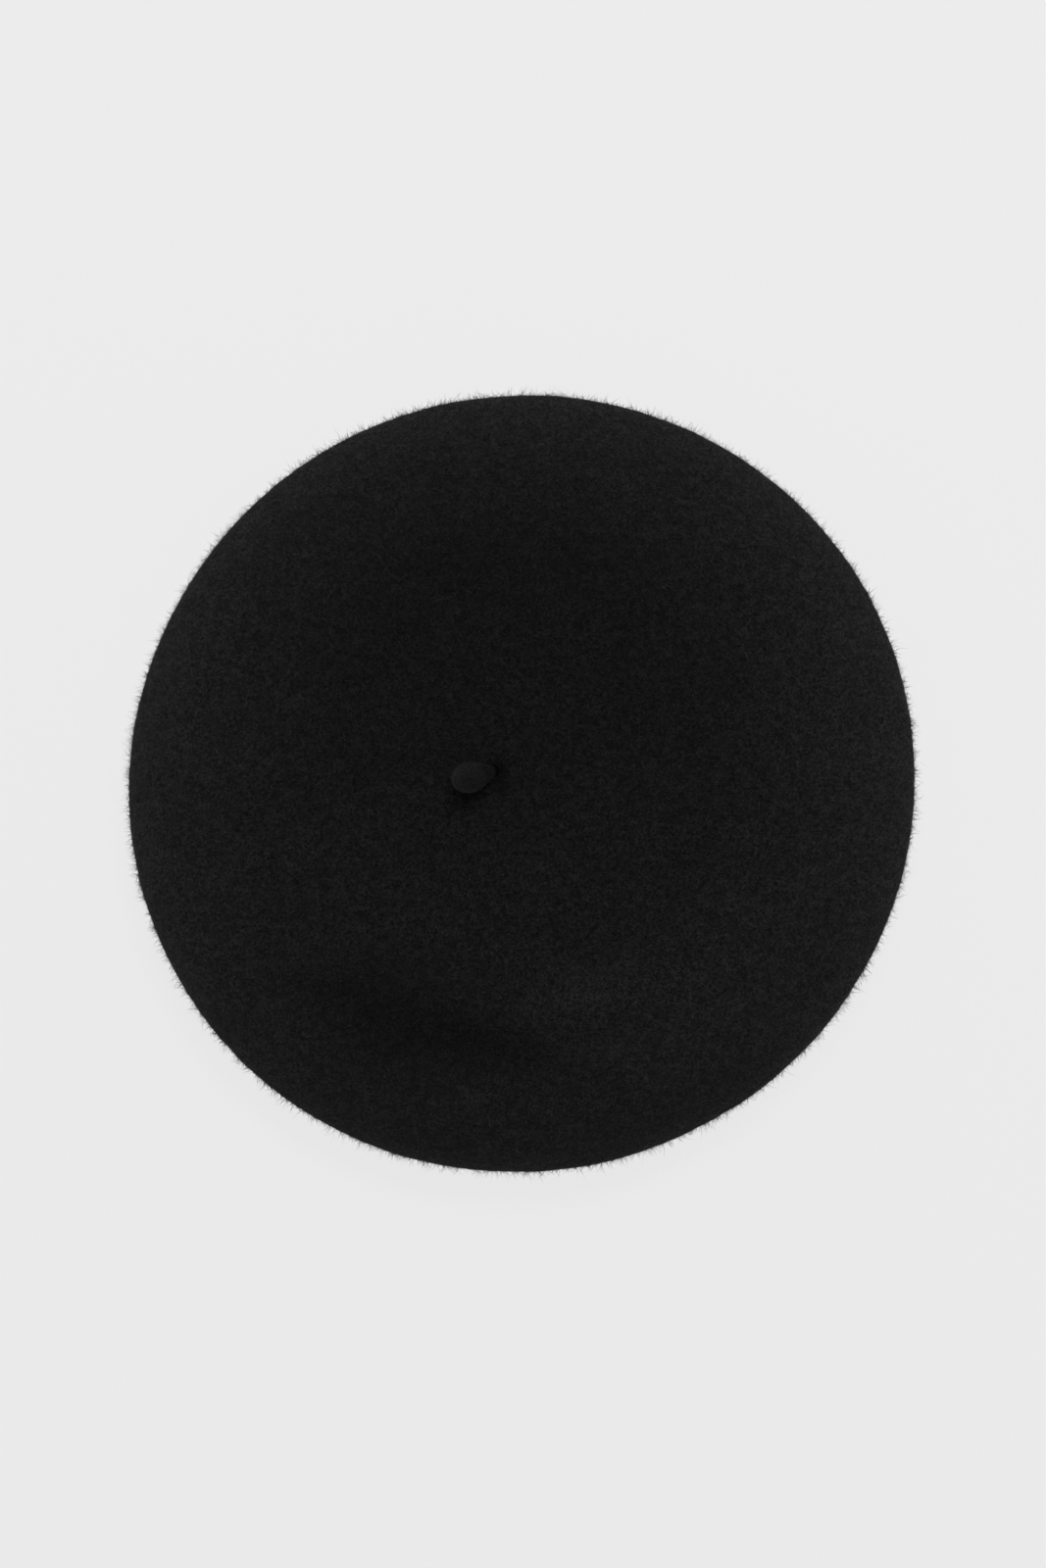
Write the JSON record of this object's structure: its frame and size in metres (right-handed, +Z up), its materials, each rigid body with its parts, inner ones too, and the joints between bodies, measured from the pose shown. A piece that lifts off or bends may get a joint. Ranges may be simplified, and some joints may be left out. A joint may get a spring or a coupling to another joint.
{
  "type": "beret",
  "caption": "Round felted wool beret lying flat, with a leaning centre stalk on the crown, a folded rim, a satin lining and a leather sweatband round the head opening underneath.",
  "frame": {"origin": "on the table, under the middle of the beret, which lies flat with its head opening down", "axes": "+Z up out of the crown, -Y towards the back where the sweatband is joined, +X to the wearer's right when the beret is seen from above with the back nearest"},
  "size_m": [0.2816, 0.2784, 0.0425],
  "materials": {
    "black_wool_felt": "fulled wool with a short soft nap",
    "dark_leather": "smooth semi-matt sheepskin",
    "black_satin": "satin with a soft gloss",
    "cotton_tape": "matt twill",
    "black_thread": "twisted polyester",
    "label_satin": "woven label satin, blank"
  },
  "bodies": {
    "beret": {"felt_body": "black_wool_felt", "stalk_anchor_patch": "cotton_tape", "stalk_anchor_thread": "black_thread", "lining_crown": "black_satin", "lining_side": "black_satin", "lining_seam_thread": "black_thread", "stay_tape": "cotton_tape", "sweatband": "dark_leather", "sweatband_seam_thread": "black_thread", "sweatband_join_tab": "dark_leather", "sweatband_join_thread": "black_thread", "maker_label": "label_satin", "maker_label_thread": "black_thread", "size_label": "label_satin", "care_label_thread": "black_thread"},
    "stalk": {"stalk": "black_wool_felt"},
    "care_label": {"care_label": "label_satin"}
  },
  "joints": [
    {"name": "stalk_bend", "type": "hinge", "parent": "beret", "child": "stalk", "pos_m": [-0.0095, 0.005, 0.0321], "axis": [0.2924, -0.9563, 0], "range_deg": [-120, 3], "stiffness_Nm_per_rad": 0.004},
    {"name": "care_label_flap", "type": "hinge", "parent": "beret", "child": "care_label", "pos_m": [0.02404, -0.0836, 0.022], "axis": [0.9611, 0.2764, 0], "range_deg": [0, 100]}
  ]
}
